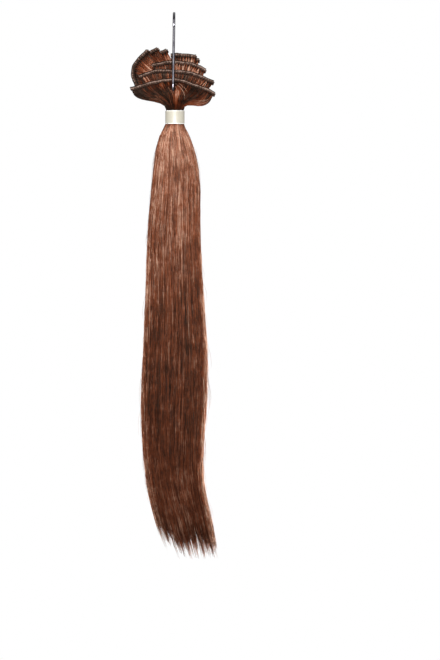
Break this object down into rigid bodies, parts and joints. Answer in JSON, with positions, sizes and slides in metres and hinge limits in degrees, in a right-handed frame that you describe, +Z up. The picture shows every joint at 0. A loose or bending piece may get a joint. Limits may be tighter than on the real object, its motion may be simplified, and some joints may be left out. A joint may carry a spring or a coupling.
{
  "type": "clip in hair extension set on a wire s hook",
  "caption": "Fanned sewn hair wefts with snap clips, gathered by a paper band into a long hanging tail and carried by a bent wire S hook.",
  "frame": {"origin": "underside of the hook's top bend, where it rests on a rail", "axes": "+Z up along the hanging tail, -Y out of the front weft, +X to the right seen from the front"},
  "size_m": [0.0887, 0.0352, 0.5429],
  "materials": {
    "black_nickel_wire": "dark polished plating",
    "ivory_paper": "smooth coated",
    "dyed_hair": "satin strands, chestnut with copper lights",
    "sewn_track": "zigzag stitched tape",
    "painted_steel_clip": "brown enamel"
  },
  "bodies": {
    "root": {"wire_hook": "black_nickel_wire", "paper_band": "ivory_paper", "hair_tail": "dyed_hair", "weft_hair_1": "dyed_hair", "weft_track_1": "sewn_track", "snap_clip_1a": "painted_steel_clip", "snap_clip_1b": "painted_steel_clip", "weft_hair_2": "dyed_hair", "weft_track_2": "sewn_track", "snap_clip_2a": "painted_steel_clip", "snap_clip_2b": "painted_steel_clip", "weft_hair_3": "dyed_hair", "weft_track_3": "sewn_track", "snap_clip_3a": "painted_steel_clip", "weft_hair_4": "dyed_hair", "weft_track_4": "sewn_track", "snap_clip_4a": "painted_steel_clip", "weft_hair_5": "dyed_hair", "weft_track_5": "sewn_track", "snap_clip_5a": "painted_steel_clip", "weft_hair_6": "dyed_hair", "weft_track_6": "sewn_track", "snap_clip_6a": "painted_steel_clip", "weft_hair_7": "dyed_hair", "weft_track_7": "sewn_track", "snap_clip_7a": "painted_steel_clip", "weft_hair_8": "dyed_hair", "weft_track_8": "sewn_track", "snap_clip_8a": "painted_steel_clip"}
  },
  "joints": []
}
